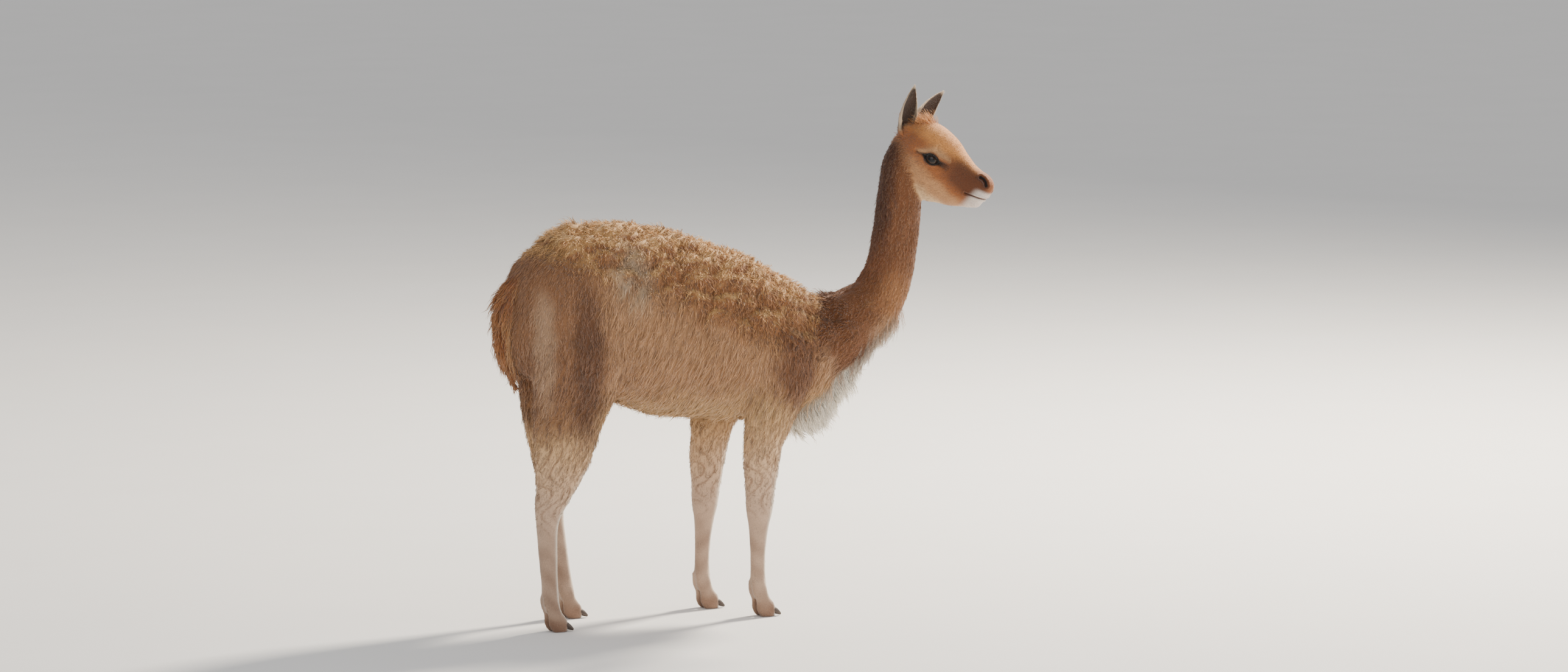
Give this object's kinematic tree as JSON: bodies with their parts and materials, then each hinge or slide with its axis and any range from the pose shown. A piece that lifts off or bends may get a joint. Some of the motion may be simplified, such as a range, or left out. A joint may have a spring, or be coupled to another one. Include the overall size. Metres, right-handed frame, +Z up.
{
  "type": "vicuna",
  "caption": "Life-size still model of a standing vicuna with a clumped fleece, a long hair bib on the chest, a hanging tail, cupped ears and cloven feet.",
  "frame": {"origin": "On the floor, below the middle of the whole animal's bounding box.", "axes": "+X forward along the trunk, +Y to the animal's left, +Z up; the head is turned towards -Y."},
  "size_m": [1.1728, 0.3326, 1.185],
  "materials": {
    "fleece": "matt wool, golden cinnamon above and pale fawn on the flanks",
    "neck_coat": "short dense wool, orange brown",
    "head_coat": "short fur, rufous with pale cheeks and chin",
    "ear_coat": "short fur, dark in the cup with a pale rim",
    "leg_coat": "short fur, creamy white to fawn",
    "tail_hair": "long rusty hair with a pale fringe",
    "eye": "wet and glossy, very dark brown",
    "nail": "dark horn"
  },
  "bodies": {
    "root": {"ear_left": "ear_coat", "ear_right": "ear_coat", "eye_left": "eye", "eye_right": "eye", "foreleg_left_cannon": "leg_coat", "foreleg_left_nail_inner": "nail", "foreleg_left_nail_outer": "nail", "foreleg_left_toe_inner": "leg_coat", "foreleg_left_toe_outer": "leg_coat", "foreleg_left_upper": "leg_coat", "foreleg_right_cannon": "leg_coat", "foreleg_right_nail_inner": "nail", "foreleg_right_nail_outer": "nail", "foreleg_right_toe_inner": "leg_coat", "foreleg_right_toe_outer": "leg_coat", "foreleg_right_upper": "leg_coat", "head": "head_coat", "hindleg_left_cannon": "leg_coat", "hindleg_left_nail_inner": "nail", "hindleg_left_nail_outer": "nail", "hindleg_left_toe_inner": "leg_coat", "hindleg_left_toe_outer": "leg_coat", "hindleg_left_upper": "leg_coat", "hindleg_right_cannon": "leg_coat", "hindleg_right_nail_inner": "nail", "hindleg_right_nail_outer": "nail", "hindleg_right_toe_inner": "leg_coat", "hindleg_right_toe_outer": "leg_coat", "hindleg_right_upper": "leg_coat", "neck_lower": "neck_coat", "neck_middle": "neck_coat", "neck_upper": "neck_coat", "tail": "tail_hair", "torso": "fleece"}
  },
  "joints": []
}
